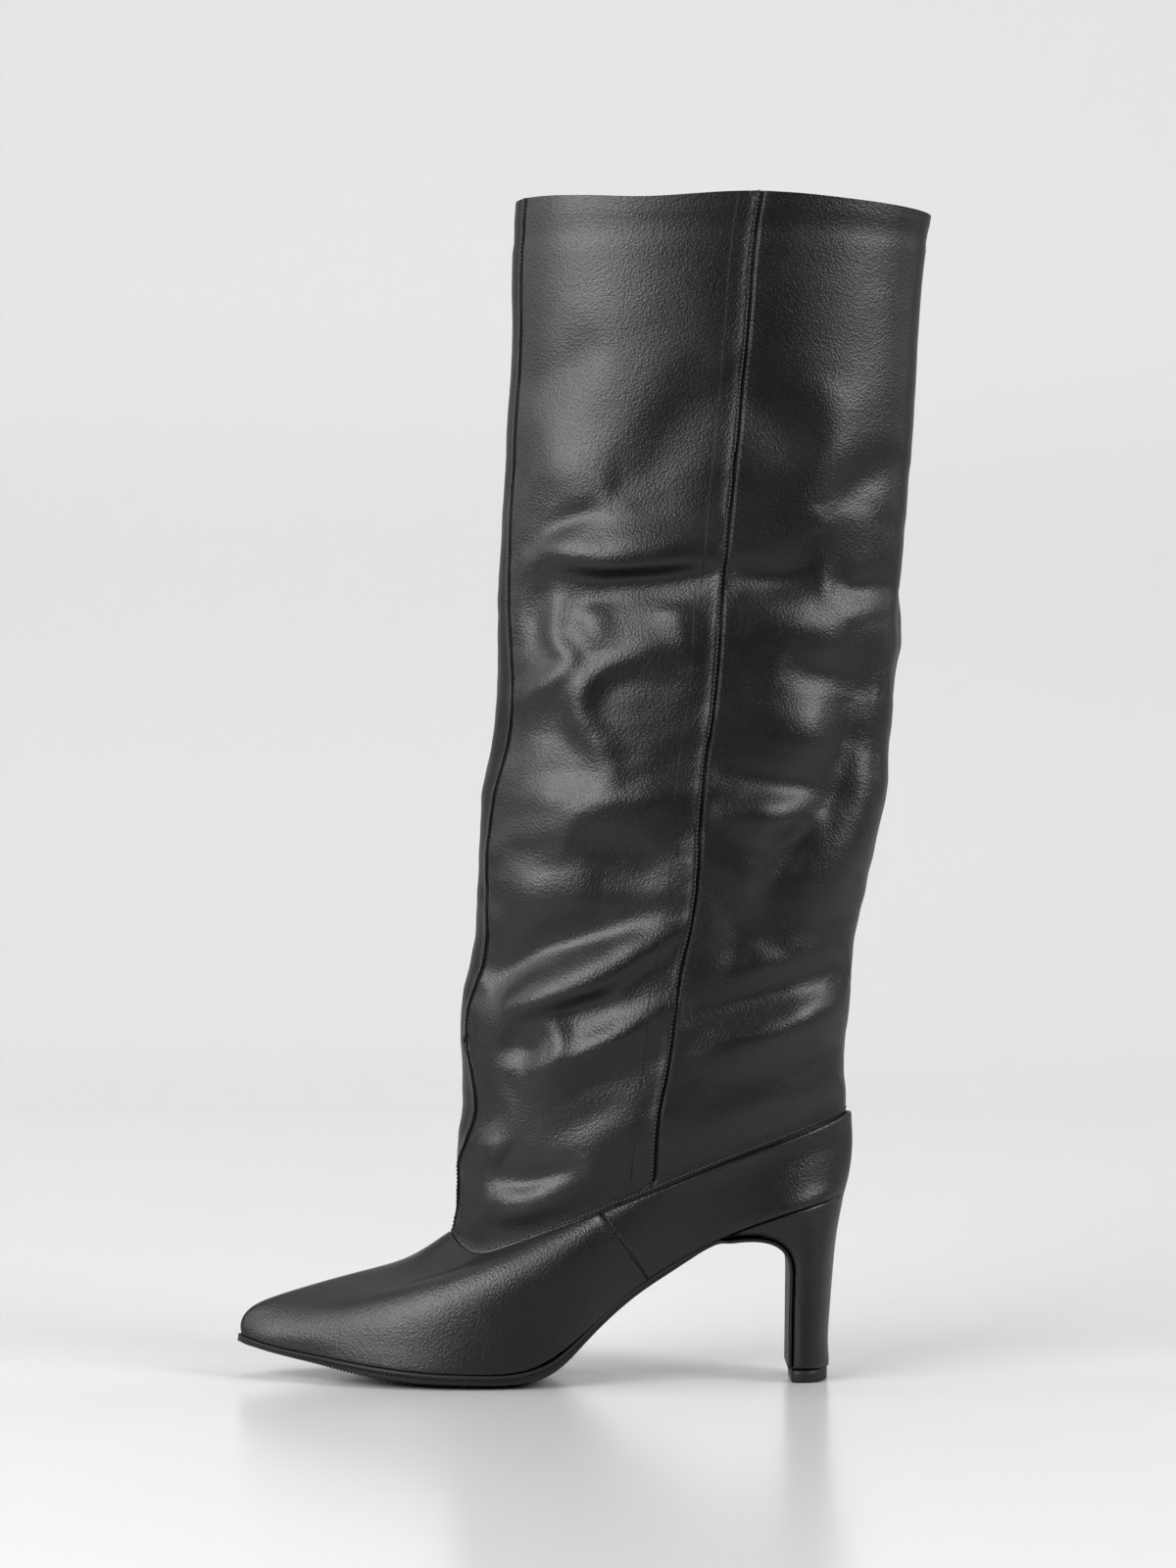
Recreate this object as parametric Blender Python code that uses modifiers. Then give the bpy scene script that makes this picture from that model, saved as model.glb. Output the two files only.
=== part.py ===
"""Tall slouch boot for the left foot: a loose leather tube on a pointed foot with a slim heel.

Run it with blender --background --python part.py, or from Blender's text editor.
Metres, +Z up. The toe points along -X, and the outer side of the foot faces -Y.
The origin is on the floor, under the middle of the heel.
"""

import math

import bmesh
import bpy
import numpy as np
from mathutils import Vector

# Sizes that drive the boot, in metres
FOOT_LENGTH = 0.2472        # feather line, from the back of the heel seat to the toe
BALL_WIDTH = 0.0860         # girth of the last seen from above, at the joints of the toes
HEEL_HEIGHT = 0.0760        # floor to the underside of the upper, at the back
HEEL_OVERHANG = 0.0160      # back of the heel seat, behind the middle of the heel
TOE_SWING = 0.0050          # how far the toe turns to the inner side
BOOT_HEIGHT = 0.4795        # floor to the collar, at the front
COLLAR_DROP = 0.0060        # how much lower the collar is at the back
COLLAR_LENGTH = 0.1702      # collar from front to back
COLLAR_WIDTH = 0.0880       # collar from side to side
TOP_LINE_LENGTH = 0.1643    # edge of the upper round the shaft, front to back
TOP_LINE_WIDTH = 0.0660
TOP_LINE_BACK = 0.0187      # back of that edge, behind the middle of the heel
TOP_LINE_HEIGHT = 0.1085    # floor to that edge, at the back
TOP_LINE_FALL = 0.373       # its slope down towards the toe
THROAT_PEAK = 0.0127        # point of the vamp that climbs the instep
THROAT_SPREAD = 38.0        # degrees to each side of the front that the point takes

# Thicknesses, in metres
UPPER_WALL = 0.0022         # leather and lining of the foot
UPPER_EDGE = 0.0011         # the same, skived along the top line
SKIVE_START = 0.0208        # leather that is skived, down from the top line
SKIVE_RUN = 0.0064          # part of it in which the leather thins
SHAFT_WALL = 0.0018
SHAFT_TUCK = 0.0080         # shaft leather that goes down inside the upper
INSOLE_THICKNESS = 0.0020
FOREPART_THICKNESS = 0.0042
TOE_THICKNESS = 0.0030      # of the outsole, under the tip of the toe
SHANK_THICKNESS = 0.0024
BREAST_THICKNESS = 0.0012   # flap of the outsole down the front of the heel
SOLE_LIP = 0.0010           # bead of the outsole that stands out past the upper
SOLE_CROWN = 0.0030         # how much deeper the outsole is at its middle than at its edge
TOP_PIECE_THICKNESS = 0.0054
TOP_PIECE_INSET = 0.0008    # heel that stands out past the top piece
TOP_PIECE_ROUND = 0.0006
SEAM_LIFT = 0.0009          # raised seams of the shaft
SEAM_BREADTH = 0.0030
EDGE_LIFT = 0.0005          # edge of the vamp, where it lies over the counter

# Shares of the shaft's height
SHAFT_START = 0.05          # in which it leaves the oval of the top line
SHAFT_CALM = 0.10           # in which the folds fade out under the collar

# Where the outsole changes its thickness, as shares of the foot length from the back
BREAST_BLEND = (0.22, 0.30)
FOREPART_BLEND = (0.40, 0.52)
CROWN_END = (0.68, 0.92)
TOE_BLEND = (0.75, 0.95)

# Clearances, in metres
GAP = 0.0003                # between pieces that touch
TUCK_GAP = 0.0005           # round the shaft's lower edge, inside the upper
INSOLE_ROOM = 0.0008        # round the insole, inside the upper

# Faces round the shells from one seam to the next, and faces up them
UPPER_COLUMNS = (26, 34)    # counter, vamp
UPPER_ROWS = 12
SHAFT_COLUMNS = (11, 20, 12)  # outer front, back, inner front
SHAFT_ROWS = 29
SHAFT_CROWDING = 1.15       # above 1, the shaft's faces are shorter near the foot
TUCK_ROWS = 2
SOLE_STATIONS = 34
BREAST_STATIONS = 18
SEAT_POINTS = 9             # along each side of the heel seat
HEEL_CORNER = 0.94          # breadth left where the heel's front corners are rounded
HEEL_STATIONS = (0.0, 0.1, 0.2, 0.3, 0.4, 0.5, 0.58, 0.66, 0.74, 0.82, 0.88, 0.92, 0.96, 1.0)


class Profile:
    """A short table. Each named column is read as a smooth curve of the first one."""

    def __init__(self, columns, rows):
        names = columns.split()
        self.knots = np.array([row[0] for row in rows], float)
        self.values = {}
        self.slopes = {}
        for place, name in enumerate(names[1:], start=1):
            column = np.array([row[place] for row in rows], float)
            self.values[name] = column
            self.slopes[name] = np.gradient(column, self.knots)

    def at(self, name, share):
        share = min(max(share, self.knots[0]), self.knots[-1])
        left = int(np.searchsorted(self.knots, share, side="right")) - 1
        left = min(left, len(self.knots) - 2)
        width = self.knots[left + 1] - self.knots[left]
        t = (share - self.knots[left]) / width
        value, slope = self.values[name], self.slopes[name]
        return float(
            value[left] * (1 + 2 * t) * (1 - t) ** 2
            + value[left + 1] * t * t * (3 - 2 * t)
            + slope[left] * width * t * (1 - t) ** 2
            - slope[left + 1] * width * t * t * (1 - t)
        )


# Height of the last's bottom edge: share of the foot from the back, share of the heel height
PITCH = Profile("along rise", (
    (0.000, 1.000),
    (0.120, 0.895),
    (0.216, 0.772),
    (0.287, 0.648),
    (0.369, 0.468),
    (0.432, 0.285),
    (0.478, 0.150),
    (0.530, 0.092),
    (0.612, 0.084),
    (0.745, 0.107),
    (0.841, 0.143),
    (0.946, 0.189),
    (1.000, 0.231),
))

# Half breadths of the last's bottom, as shares of the ball width, before the ends are rounded
OUTLINE = Profile("along outer inner", (
    (0.00, 0.590, 0.590),
    (0.06, 0.560, 0.560),
    (0.14, 0.455, 0.450),
    (0.26, 0.345, 0.325),
    (0.38, 0.338, 0.285),
    (0.50, 0.412, 0.350),
    (0.62, 0.470, 0.440),
    (0.72, 0.482, 0.478),
    (0.82, 0.435, 0.440),
    (0.91, 0.350, 0.360),
    (1.00, 0.340, 0.340),
))

# From the feather line (0) to the top line (1), at the toe, the sides and the back:
# how far in and how far up the leather has come, and how far it swells, in ball widths
WALL = Profile(
    "level toe_in toe_up toe_out side_in side_up side_out back_in back_up back_out", (
    (0.00, 0.000, 0.00, 0.000, 0.00, 0.00, 0.000, 0.00, 0.00, 0.000),
    (0.10, -0.008, 0.10, 0.000, 0.00, 0.10, 0.018, 0.05, 0.11, 0.010),
    (0.20, 0.020, 0.22, 0.000, 0.01, 0.22, 0.028, 0.12, 0.23, 0.018),
    (0.32, 0.110, 0.32, 0.000, 0.07, 0.35, 0.034, 0.25, 0.37, 0.022),
    (0.46, 0.270, 0.43, 0.000, 0.17, 0.50, 0.034, 0.42, 0.52, 0.022),
    (0.60, 0.460, 0.54, 0.000, 0.33, 0.64, 0.027, 0.60, 0.66, 0.018),
    (0.74, 0.650, 0.64, 0.000, 0.54, 0.77, 0.018, 0.77, 0.79, 0.011),
    (0.87, 0.830, 0.76, 0.000, 0.77, 0.89, 0.008, 0.90, 0.90, 0.005),
    (1.00, 1.000, 1.00, 0.000, 1.00, 1.00, 0.000, 1.00, 1.00, 0.000),
))
TOE_REACH = 10              # the higher, the less of the foot follows the toe's section
BACK_REACH = 6              # the same for the section at the back

# Sections of the shaft, from the top line (0) to the collar (1): the front and back edges as
# shares of the collar's length from the origin, and the half breadths as shares of its width
SHAFT = Profile("up front back outer inner", (
    (0.000, -0.826, 0.099, 0.350, 0.350),
    (0.020, -0.826, 0.096, 0.385, 0.380),
    (0.060, -0.842, 0.092, 0.430, 0.420),
    (0.100, -0.832, 0.103, 0.445, 0.432),
    (0.140, -0.822, 0.113, 0.440, 0.450),
    (0.180, -0.828, 0.113, 0.455, 0.440),
    (0.210, -0.835, 0.123, 0.462, 0.452),
    (0.240, -0.820, 0.136, 0.452, 0.462),
    (0.280, -0.799, 0.157, 0.468, 0.455),
    (0.360, -0.787, 0.189, 0.478, 0.470),
    (0.430, -0.777, 0.207, 0.476, 0.480),
    (0.480, -0.753, 0.215, 0.482, 0.470),
    (0.520, -0.743, 0.219, 0.474, 0.478),
    (0.600, -0.741, 0.229, 0.470, 0.474),
    (0.700, -0.730, 0.248, 0.484, 0.478),
    (0.780, -0.719, 0.262, 0.488, 0.486),
    (0.860, -0.707, 0.270, 0.492, 0.490),
    (0.960, -0.706, 0.288, 0.494, 0.494),
    (1.000, -0.698, 0.302, 0.500, 0.500),
))

# Seams of the shaft, in degrees round it from the front, by share of its height
SHAFT_SEAMS = Profile("up front outer inner", (
    (0.00, 3.0, 89.0, 271.0),
    (0.06, 9.0, 91.0, 269.5),
    (0.14, 22.0, 92.5, 268.0),
    (0.20, 15.0, 95.0, 266.5),
    (0.28, 21.0, 95.0, 266.0),
    (0.36, 18.0, 94.0, 266.0),
    (0.52, 24.0, 94.5, 265.0),
    (0.62, 20.0, 95.4, 264.5),
    (0.80, 18.0, 97.0, 263.0),
    (1.00, 19.5, 99.0, 261.0),
))

# Seams between vamp and counter, in degrees, from the feather line (0) to the top line (1)
UPPER_SEAMS = Profile("level outer inner", (
    (0.0, 110.0, 250.0),
    (0.5, 96.0, 264.0),
    (1.0, 77.0, 283.0),
))

# Main folds of the slack shaft. Each runs through three points, given in degrees round the
# shaft and as a share of its height. Breadth and lift are shares of the collar's width.
FOLDS = (
    # start         middle          end            breadth  lift
    ((30, 0.640), (62, 0.650), (94, 0.655), 0.105, 0.040),
    ((28, 0.615), (60, 0.605), (93, 0.622), 0.070, -0.046),
    ((26, 0.500), (44, 0.540), (60, 0.500), 0.080, 0.026),
    ((34, 0.395), (60, 0.405), (84, 0.385), 0.110, 0.024),
    ((24, 0.235), (52, 0.285), (90, 0.320), 0.100, -0.036),
    ((22, 0.200), (55, 0.235), (92, 0.275), 0.085, 0.034),
    ((32, 0.175), (60, 0.180), (92, 0.215), 0.065, -0.034),
    ((38, 0.130), (64, 0.145), (94, 0.165), 0.090, 0.036),
    ((20, 0.090), (50, 0.085), (88, 0.105), 0.080, -0.030),
    ((24, 0.040), (55, 0.045), (86, 0.060), 0.090, 0.024),
    ((100, 0.610), (122, 0.600), (140, 0.585), 0.115, -0.034),
    ((150, 0.530), (134, 0.400), (112, 0.290), 0.100, -0.044),
    ((100, 0.395), (122, 0.370), (142, 0.400), 0.110, 0.030),
    ((96, 0.205), (130, 0.235), (168, 0.250), 0.110, -0.034),
    ((98, 0.110), (130, 0.130), (165, 0.130), 0.110, 0.026),
    ((200, 0.560), (232, 0.520), (262, 0.540), 0.105, -0.036),
    ((205, 0.370), (236, 0.320), (262, 0.270), 0.110, -0.040),
    ((210, 0.175), (240, 0.205), (266, 0.185), 0.095, -0.034),
    ((196, 0.110), (230, 0.105), (262, 0.120), 0.095, 0.026),
    ((272, 0.640), (305, 0.600), (338, 0.620), 0.090, -0.042),
    ((274, 0.420), (305, 0.470), (336, 0.440), 0.105, 0.030),
    ((272, 0.250), (302, 0.225), (336, 0.205), 0.080, -0.036),
    ((274, 0.130), (306, 0.155), (338, 0.130), 0.085, 0.034),
    ((275, 0.070), (305, 0.085), (340, 0.075), 0.075, -0.028),
)
FOLD_STEPS = 10             # straight runs that stand for a fold's line

# The heel, from its seat (0) down to the top piece (1): the front of each section as a share
# of the foot length, its back as a share of the heel's overhang, both heights as shares of
# the heel height, and its breadth as a share of the seat's
HEEL = Profile("down front front_up back back_up breadth", (
    (0.00, -0.1477, 0.762, 0.986, 1.000, 1.000),
    (0.10, -0.1214, 0.775, 0.958, 0.965, 0.965),
    (0.20, -0.0971, 0.780, 0.924, 0.928, 0.930),
    (0.30, -0.0728, 0.775, 0.885, 0.891, 0.895),
    (0.40, -0.0518, 0.753, 0.847, 0.851, 0.865),
    (0.50, -0.0364, 0.714, 0.803, 0.803, 0.835),
    (0.58, -0.0273, 0.664, 0.773, 0.757, 0.810),
    (0.66, -0.0245, 0.605, 0.743, 0.711, 0.790),
    (0.80, -0.0252, 0.434, 0.655, 0.500, 0.730),
    (0.92, -0.0261, 0.180, 0.559, 0.180, 0.690),
    (0.96, -0.0264, 0.110, 0.590, 0.120, 0.685),
    (1.00, -0.0266, 0.075, 0.587, 0.075, 0.670),
))

# Height of the collar: degrees round it from the front, share of the drop at the back
COLLAR = Profile("turn drop", (
    (0, 0.05),
    (36, 0.12),
    (50, 0.28),
    (69, 0.54),
    (80, 0.42),
    (92, 0.24),
    (105, 0.26),
    (125, 0.55),
    (180, 1.00),
    (240, 0.52),
    (265, 0.28),
    (290, 0.48),
    (320, 0.20),
    (360, 0.05),
))

LEATHER = (0.022, 0.021, 0.022, 1.0)
RUBBER = (0.018, 0.018, 0.018, 1.0)
SOCK = (0.075, 0.068, 0.060, 1.0)


def smoothstep(share):
    share = min(max(share, 0.0), 1.0)
    return share * share * (3 - 2 * share)


def mix(a, b, share):
    return a + (b - a) * share


def blend(value, span):
    """From 0 where the span starts to 1 where it ends."""
    start, end = span
    return smoothstep((value - start) / (end - start))


def pitch(x):
    """Height of the last's bottom edge."""
    return HEEL_HEIGHT * PITCH.at("rise", (HEEL_OVERHANG - x) / FOOT_LENGTH)


def below_pitch(x, depth):
    """The point that lies depth under the last's bottom at x, square to it, as (x, z)."""
    step = 0.0005
    slope = (pitch(x + step) - pitch(x - step)) / (2 * step)
    length = math.hypot(1.0, slope)
    return x + depth * slope / length, pitch(x) - depth / length


def feather(angle, inset=0.0):
    """The last's bottom edge, at an angle round the foot from the toe to its outer side."""
    along = (1 + math.cos(angle)) / 2
    side = "outer" if math.sin(angle) >= 0 else "inner"
    half = BALL_WIDTH * OUTLINE.at(side, along)
    across = outward(angle)
    x = HEEL_OVERHANG - along * FOOT_LENGTH - inset * across.x
    y = -half * math.sin(angle) + TOE_SWING * smoothstep((along - 0.55) / 0.45)
    y -= inset * across.y
    return Vector((x, y, pitch(x)))


def outward(angle):
    """Level direction away from the foot's middle, square to its long oval."""
    return Vector(
        (-math.cos(angle) / FOOT_LENGTH, -math.sin(angle) / BALL_WIDTH, 0.0)
    ).normalized()


def top_line(angle):
    """Edge of the upper round the shaft: an oval that slopes to the toe, with a point in front."""
    x = TOP_LINE_BACK - TOP_LINE_LENGTH * (1 + math.cos(angle)) / 2
    y = -TOP_LINE_WIDTH / 2 * math.sin(angle)
    z = TOP_LINE_HEIGHT - TOP_LINE_FALL * (TOP_LINE_BACK - x)
    turn = abs(math.degrees(math.atan2(math.sin(angle), math.cos(angle))))
    if turn < THROAT_SPREAD:
        z += THROAT_PEAK * math.cos(math.radians(90 * turn / THROAT_SPREAD)) ** 2
    return Vector((x, y, z))


def upper_point(angle, level):
    """Outer face of the foot's leather, from the feather line (0) to the top line (1)."""
    toe = math.cos(angle / 2) ** TOE_REACH
    back = math.sin(angle / 2) ** BACK_REACH
    shares = {"toe": toe, "side": 1 - toe - back, "back": back}
    come_in, come_up, swell = (
        sum(share * WALL.at(f"{place}_{word}", level) for place, share in shares.items())
        for word in ("in", "up", "out")
    )
    low, high = feather(angle), top_line(angle)
    flat = low.lerp(high, come_in) + outward(angle) * swell * BALL_WIDTH
    return Vector((flat.x, flat.y, mix(low.z, high.z, come_up)))


def edge_level(angle, distance):
    """Level of the upper's leather that lies this far down from the top line."""
    return 1 - distance / (top_line(angle) - feather(angle)).length


def square_to(surface, angle, share):
    """Outward direction square to a surface given by angle and share."""
    step = 0.01
    low, high = max(share - step, 0.0), min(share + step, 1.0)
    around = surface(angle + step, share) - surface(angle - step, share)
    upwards = surface(angle, high) - surface(angle, low)
    return around.cross(upwards).normalized()


def tucked_shaft(angle, depth):
    """Outer face of the shaft's lower edge, this far down inside the upper."""
    level = edge_level(angle, depth)
    return upper_point(angle, level) - square_to(upper_point, angle, level) * (UPPER_EDGE + TUCK_GAP)


def shaft_point(angle, up):
    """Outer face of the shaft, from the top line (0) to the collar (1), without its folds."""
    front = COLLAR_LENGTH * SHAFT.at("front", up)
    back = COLLAR_LENGTH * SHAFT.at("back", up)
    side = "outer" if math.sin(angle) >= 0 else "inner"
    half = COLLAR_WIDTH * SHAFT.at(side, up)
    low = tucked_shaft(angle, 0.0) - outward(angle) * TUCK_GAP
    high = BOOT_HEIGHT - COLLAR_DROP * COLLAR.at("drop", math.degrees(angle) % 360)
    free = Vector((
        mix(back, front, (1 + math.cos(angle)) / 2),
        -half * math.sin(angle),
        mix(low.z, high, up),
    ))
    return Vector((low.x, low.y, free.z)).lerp(free, smoothstep(up / SHAFT_START))


def fold_lift(angle, up):
    """How far the main folds move the shaft's leather out (or in, where it is negative)."""
    girth = math.pi * (COLLAR_LENGTH + COLLAR_WIDTH) / 2
    height = BOOT_HEIGHT - TOP_LINE_HEIGHT
    here = np.array((math.degrees(angle) % 360 / 360 * girth, up * height))
    total = 0.0
    for start, middle, end, breadth, lift in FOLDS:
        marks = np.array((start, middle, end), float) * (girth / 360, height)
        t = np.linspace(0, 1, FOLD_STEPS + 1)[:, None]
        line = marks[0] * (1 - t) * (1 - 2 * t) + marks[1] * 4 * t * (1 - t) + marks[2] * t * (2 * t - 1)
        away = np.linalg.norm(line - here, axis=1)
        nearest = int(np.argmin(away))
        fade = math.sin(math.pi * nearest / FOLD_STEPS) ** 0.7
        total += lift * fade * math.exp(-((away[nearest] / (breadth * COLLAR_WIDTH)) ** 2))
    ends = smoothstep(up / SHAFT_START) * smoothstep((1 - up) / SHAFT_CALM)
    return total * COLLAR_WIDTH * ends


def seamed_columns(seams, names, share, columns, girth):
    """Angles round a shell at this height, each with 1 on a seam's line and 0 elsewhere."""
    half = math.pi * SEAM_BREADTH / girth
    lines = [math.radians(seams.at(name, share)) for name in names]
    found = []
    for line, following, count in zip(lines, [*lines[1:], lines[0] + 2 * math.pi], columns):
        found.append((line, 1.0))
        first, last = line + half, following - half
        for step in range(count + 1):
            found.append((mix(first, last, step / count), 0.0))
    return found


def shell_object(name, material, rings, thickness):
    """A tube through rings of (point, share of the wall), given its wall on the inside."""
    bm = bmesh.new()
    group = bm.verts.layers.deform.verify()
    loops = []
    for ring in rings:
        loop = []
        for point, share in ring:
            vert = bm.verts.new(point)
            vert[group][0] = share
            loop.append(vert)
        loops.append(loop)
    for low, high in zip(loops, loops[1:]):
        for i in range(len(low)):
            j = (i + 1) % len(low)
            bm.faces.new((low[i], low[j], high[j], high[i]))
    piece = linked_object(name, material, bm)
    wall = piece.modifiers.new("Wall", "SOLIDIFY")
    wall.thickness = thickness
    wall.offset = -1
    wall.vertex_group = piece.vertex_groups.new(name="wall").name
    return piece


def finished_object(name, material, bm):
    """A closed body. Points that the ends of a loft share become one."""
    bmesh.ops.remove_doubles(bm, verts=bm.verts, dist=1e-6)
    bmesh.ops.dissolve_degenerate(bm, edges=bm.edges, dist=1e-6)
    bmesh.ops.recalc_face_normals(bm, faces=bm.faces)
    return linked_object(name, material, bm)


def linked_object(name, material, bm):
    mesh = bpy.data.meshes.new(name)
    bm.to_mesh(mesh)
    bm.free()
    mesh.materials.append(material)
    mesh.shade_smooth()
    mesh.set_sharp_from_angle(angle=math.radians(35))
    piece = bpy.data.objects.new(name, mesh)
    BOOT.objects.link(piece)
    return piece


def make_material(name, colour, roughness):
    material = bpy.data.materials.new(name)
    material.use_nodes = True
    shader = material.node_tree.nodes["Principled BSDF"]
    shader.inputs["Base Color"].default_value = colour
    shader.inputs["Roughness"].default_value = roughness
    return material


def make_upper(material):
    """Vamp and counter, one hollow shell that is open underneath and round the ankle."""
    rings = []
    girth = math.pi * (FOOT_LENGTH + BALL_WIDTH) / 2
    for row in range(UPPER_ROWS + 1):
        level = row / UPPER_ROWS
        ring = []
        columns = seamed_columns(UPPER_SEAMS, ("outer", "inner"), level, UPPER_COLUMNS, girth)
        for angle, seam in columns:
            lift = square_to(upper_point, angle, level) * seam * EDGE_LIFT
            skived = smoothstep((level - edge_level(angle, SKIVE_START))
                                / (edge_level(angle, 0) - edge_level(angle, SKIVE_RUN)))
            share = mix(UPPER_WALL, UPPER_EDGE, skived) / UPPER_WALL
            ring.append((upper_point(angle, level) + lift, share))
        rings.append(ring)
    return shell_object("upper", material, rings, UPPER_WALL)


def folded_shaft(angle, up):
    """Outer face of the shaft with its main folds."""
    return shaft_point(angle, up) + square_to(shaft_point, angle, up) * fold_lift(angle, up)


def make_shaft(material):
    """The slack tube, tucked into the upper below."""
    rings = []
    girth = math.pi * (COLLAR_LENGTH + COLLAR_WIDTH) / 2
    names = ("front", "outer", "inner")
    lowest = seamed_columns(SHAFT_SEAMS, names, 0.0, SHAFT_COLUMNS, girth)
    for row in range(TUCK_ROWS, 0, -1):
        depth = SHAFT_TUCK * row / TUCK_ROWS
        rings.append([(tucked_shaft(angle, depth), 1.0) for angle, _ in lowest])
    for row in range(SHAFT_ROWS + 1):
        up = (row / SHAFT_ROWS) ** SHAFT_CROWDING
        ring = []
        for angle, seam in seamed_columns(SHAFT_SEAMS, names, up, SHAFT_COLUMNS, girth):
            lift = seam * SEAM_LIFT * smoothstep((up - 0.01) / 0.03)
            ring.append((folded_shaft(angle, up) + square_to(folded_shaft, angle, up) * lift, 1.0))
        rings.append(ring)
    return shell_object("shaft", material, rings, SHAFT_WALL)


def make_insole(material):
    """The board that the foot stands on, inside the upper's wall."""
    sections = []
    for station in range(SOLE_STATIONS + 1):
        angle = math.pi * station / SOLE_STATIONS
        outer_edge = feather(angle, inset=UPPER_WALL + INSOLE_ROOM)
        inner_edge = feather(-angle, inset=UPPER_WALL + INSOLE_ROOM)
        x = outer_edge.x
        low = below_pitch(x, 0.0)
        high = below_pitch(x, -INSOLE_THICKNESS)
        sections.append([
            Vector((low[0], outer_edge.y, low[1])),
            Vector((low[0], inner_edge.y, low[1])),
            Vector((high[0], inner_edge.y, high[1])),
            Vector((high[0], outer_edge.y, high[1])),
        ])
    return lofted_object("insole", material, sections)


def lofted_object(name, material, sections):
    """A solid through closed sections, capped at both ends. Ends that shrink to a line merge."""
    bm = bmesh.new()
    loops = [[bm.verts.new(point) for point in section] for section in sections]
    count = len(loops[0])
    for loop, following in zip(loops, loops[1:]):
        for i in range(count):
            j = (i + 1) % count
            bm.faces.new((loop[i], loop[j], following[j], following[i]))
    for loop in (loops[0], loops[-1]):
        half = count // 2
        for i in range(half - 1):
            bm.faces.new((loop[i], loop[i + 1], loop[count - 2 - i], loop[count - 1 - i]))
    return finished_object(name, material, bm)


def heel_front(down, depth=0.0):
    """The heel's front line at a share of the way down, or a line depth in front of it."""
    step = 0.004
    low, high = min(down + step, 1.0), max(down - step, 0.0)
    x, z = (FOOT_LENGTH * HEEL.at("front", down), HEEL_HEIGHT * HEEL.at("front_up", down))
    run = FOOT_LENGTH * (HEEL.at("front", low) - HEEL.at("front", high))
    rise = HEEL_HEIGHT * (HEEL.at("front_up", low) - HEEL.at("front_up", high))
    length = math.hypot(run, rise)
    return x + depth * rise / length, z - depth * run / length


def seat_half(x, side):
    """Half the heel seat's breadth at x, on the side named."""
    along = (HEEL_OVERHANG - x) / FOOT_LENGTH
    angle = math.acos(min(max(2 * along - 1, -1.0), 1.0))
    return abs(feather(angle if side == "outer" else -angle).y)


def sole_section(x, z, down_x, down_z, outer_half, inner_half, thickness, lip, crown):
    """One section across the outsole, from its upper outer edge round to its upper inner edge."""
    rim = (
        # share of the thickness, share of the lip, share of the half breadth
        (0.00, 0.35, 1.00),
        (0.14, 1.00, 1.00),
        (0.34, 1.00, 1.00),
        (0.44, 0.20, 1.00),
        (0.86, 0.00, 1.00),
        (1.00, -0.90, 1.00),
        (1.00, 0.00, 0.72),
    )
    found = []
    for half, sign in ((outer_half, -1), (inner_half, 1)):
        side = []
        for depth_share, lip_share, half_share in rim:
            inside = half_share < 1
            depth = thickness * depth_share + (crown if inside else 0.0)
            y = sign * max(half * half_share + lip * lip_share, 0.0)
            low = max(z + down_z * depth, 0.0)
            side.append(Vector((x + down_x * depth, y, low)))
        found.append(side)
    return [*found[0], *reversed(found[1])]


def make_outsole(material):
    """The outsole: forepart, shank, and the thin flap down the front of the heel."""
    sections = []
    shank_end = FOOT_LENGTH * HEEL.at("front", 0.0)
    last_angle = math.acos(2 * (HEEL_OVERHANG - shank_end) / FOOT_LENGTH - 1)
    for station in range(SOLE_STATIONS + 1):
        angle = last_angle * station / SOLE_STATIONS
        outer_edge, inner_edge = feather(angle), feather(-angle)
        middle = (outer_edge.y + inner_edge.y) / 2
        along = (1 + math.cos(angle)) / 2
        forepart = blend(along, FOREPART_BLEND)
        thickness = mix(SHANK_THICKNESS, FOREPART_THICKNESS, forepart)
        thickness = mix(thickness, BREAST_THICKNESS, 1 - blend(along, BREAST_BLEND))
        thickness = mix(thickness, TOE_THICKNESS, blend(along, TOE_BLEND))
        crown = SOLE_CROWN * forepart * (1 - blend(along, CROWN_END))
        lip = SOLE_LIP * mix(0.35, 1.0, forepart)
        half = (inner_edge.y - outer_edge.y) / 2
        top = below_pitch(outer_edge.x, GAP)
        under = below_pitch(outer_edge.x, GAP + thickness)
        down_x, down_z = (under[0] - top[0]) / thickness, (under[1] - top[1]) / thickness
        if station == 0:
            lip, half = 0.0, 0.0
            top = (top[0] - SOLE_LIP * 0.8, top[1])
        section = sole_section(
            top[0], top[1], down_x, down_z, half, half, thickness, lip, crown
        )
        sections.append([point + Vector((0, middle, 0)) for point in section])
    for station in range(1, BREAST_STATIONS + 1):
        down = station / BREAST_STATIONS
        near = heel_front(down, GAP)
        far = heel_front(down, GAP + BREAST_THICKNESS)
        breadth = HEEL.at("breadth", down)
        down_x = (far[0] - near[0]) / BREAST_THICKNESS
        down_z = (far[1] - near[1]) / BREAST_THICKNESS
        sections.append(sole_section(
            near[0], near[1], down_x, down_z,
            seat_half(shank_end, "outer") * breadth,
            seat_half(shank_end, "inner") * breadth,
            BREAST_THICKNESS, SOLE_LIP * 0.35 * (1 - down), 0.0,
        ))
    return lofted_object("outsole", material, sections)


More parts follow.
